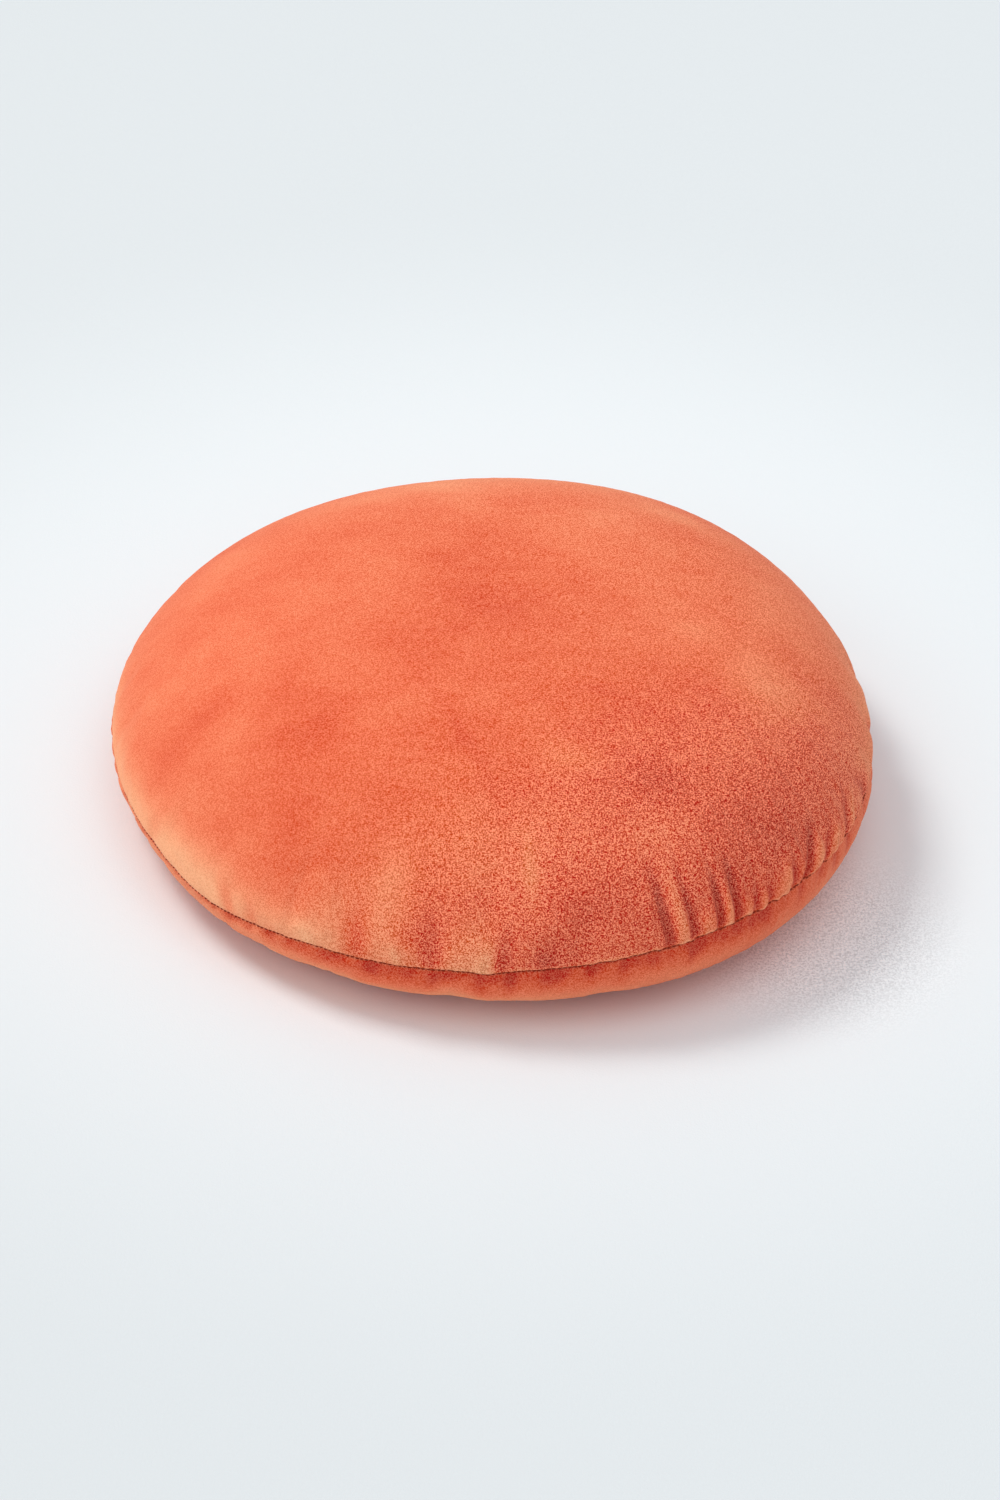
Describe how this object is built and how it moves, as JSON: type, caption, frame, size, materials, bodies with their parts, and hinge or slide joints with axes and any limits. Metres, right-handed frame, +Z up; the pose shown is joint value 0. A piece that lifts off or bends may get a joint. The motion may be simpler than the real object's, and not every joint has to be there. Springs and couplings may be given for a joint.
{
  "type": "round cushion",
  "caption": "Round filled velvet cushion, crowned on top, with a drawn-in edge seam and gathers, lying on its back panel.",
  "frame": {"origin": "on the surface that the cushion lies on, under the middle of its box", "axes": "+Z up through the thickness, +X to the right and -Y towards the viewer of the side with the closest gathers at its right"},
  "size_m": [0.3982, 0.3904, 0.1209],
  "materials": {
    "velvet": "short cotton velvet pile, coral orange, matt with a soft sheen"
  },
  "bodies": {
    "root": {"cushion": "velvet"}
  },
  "joints": []
}
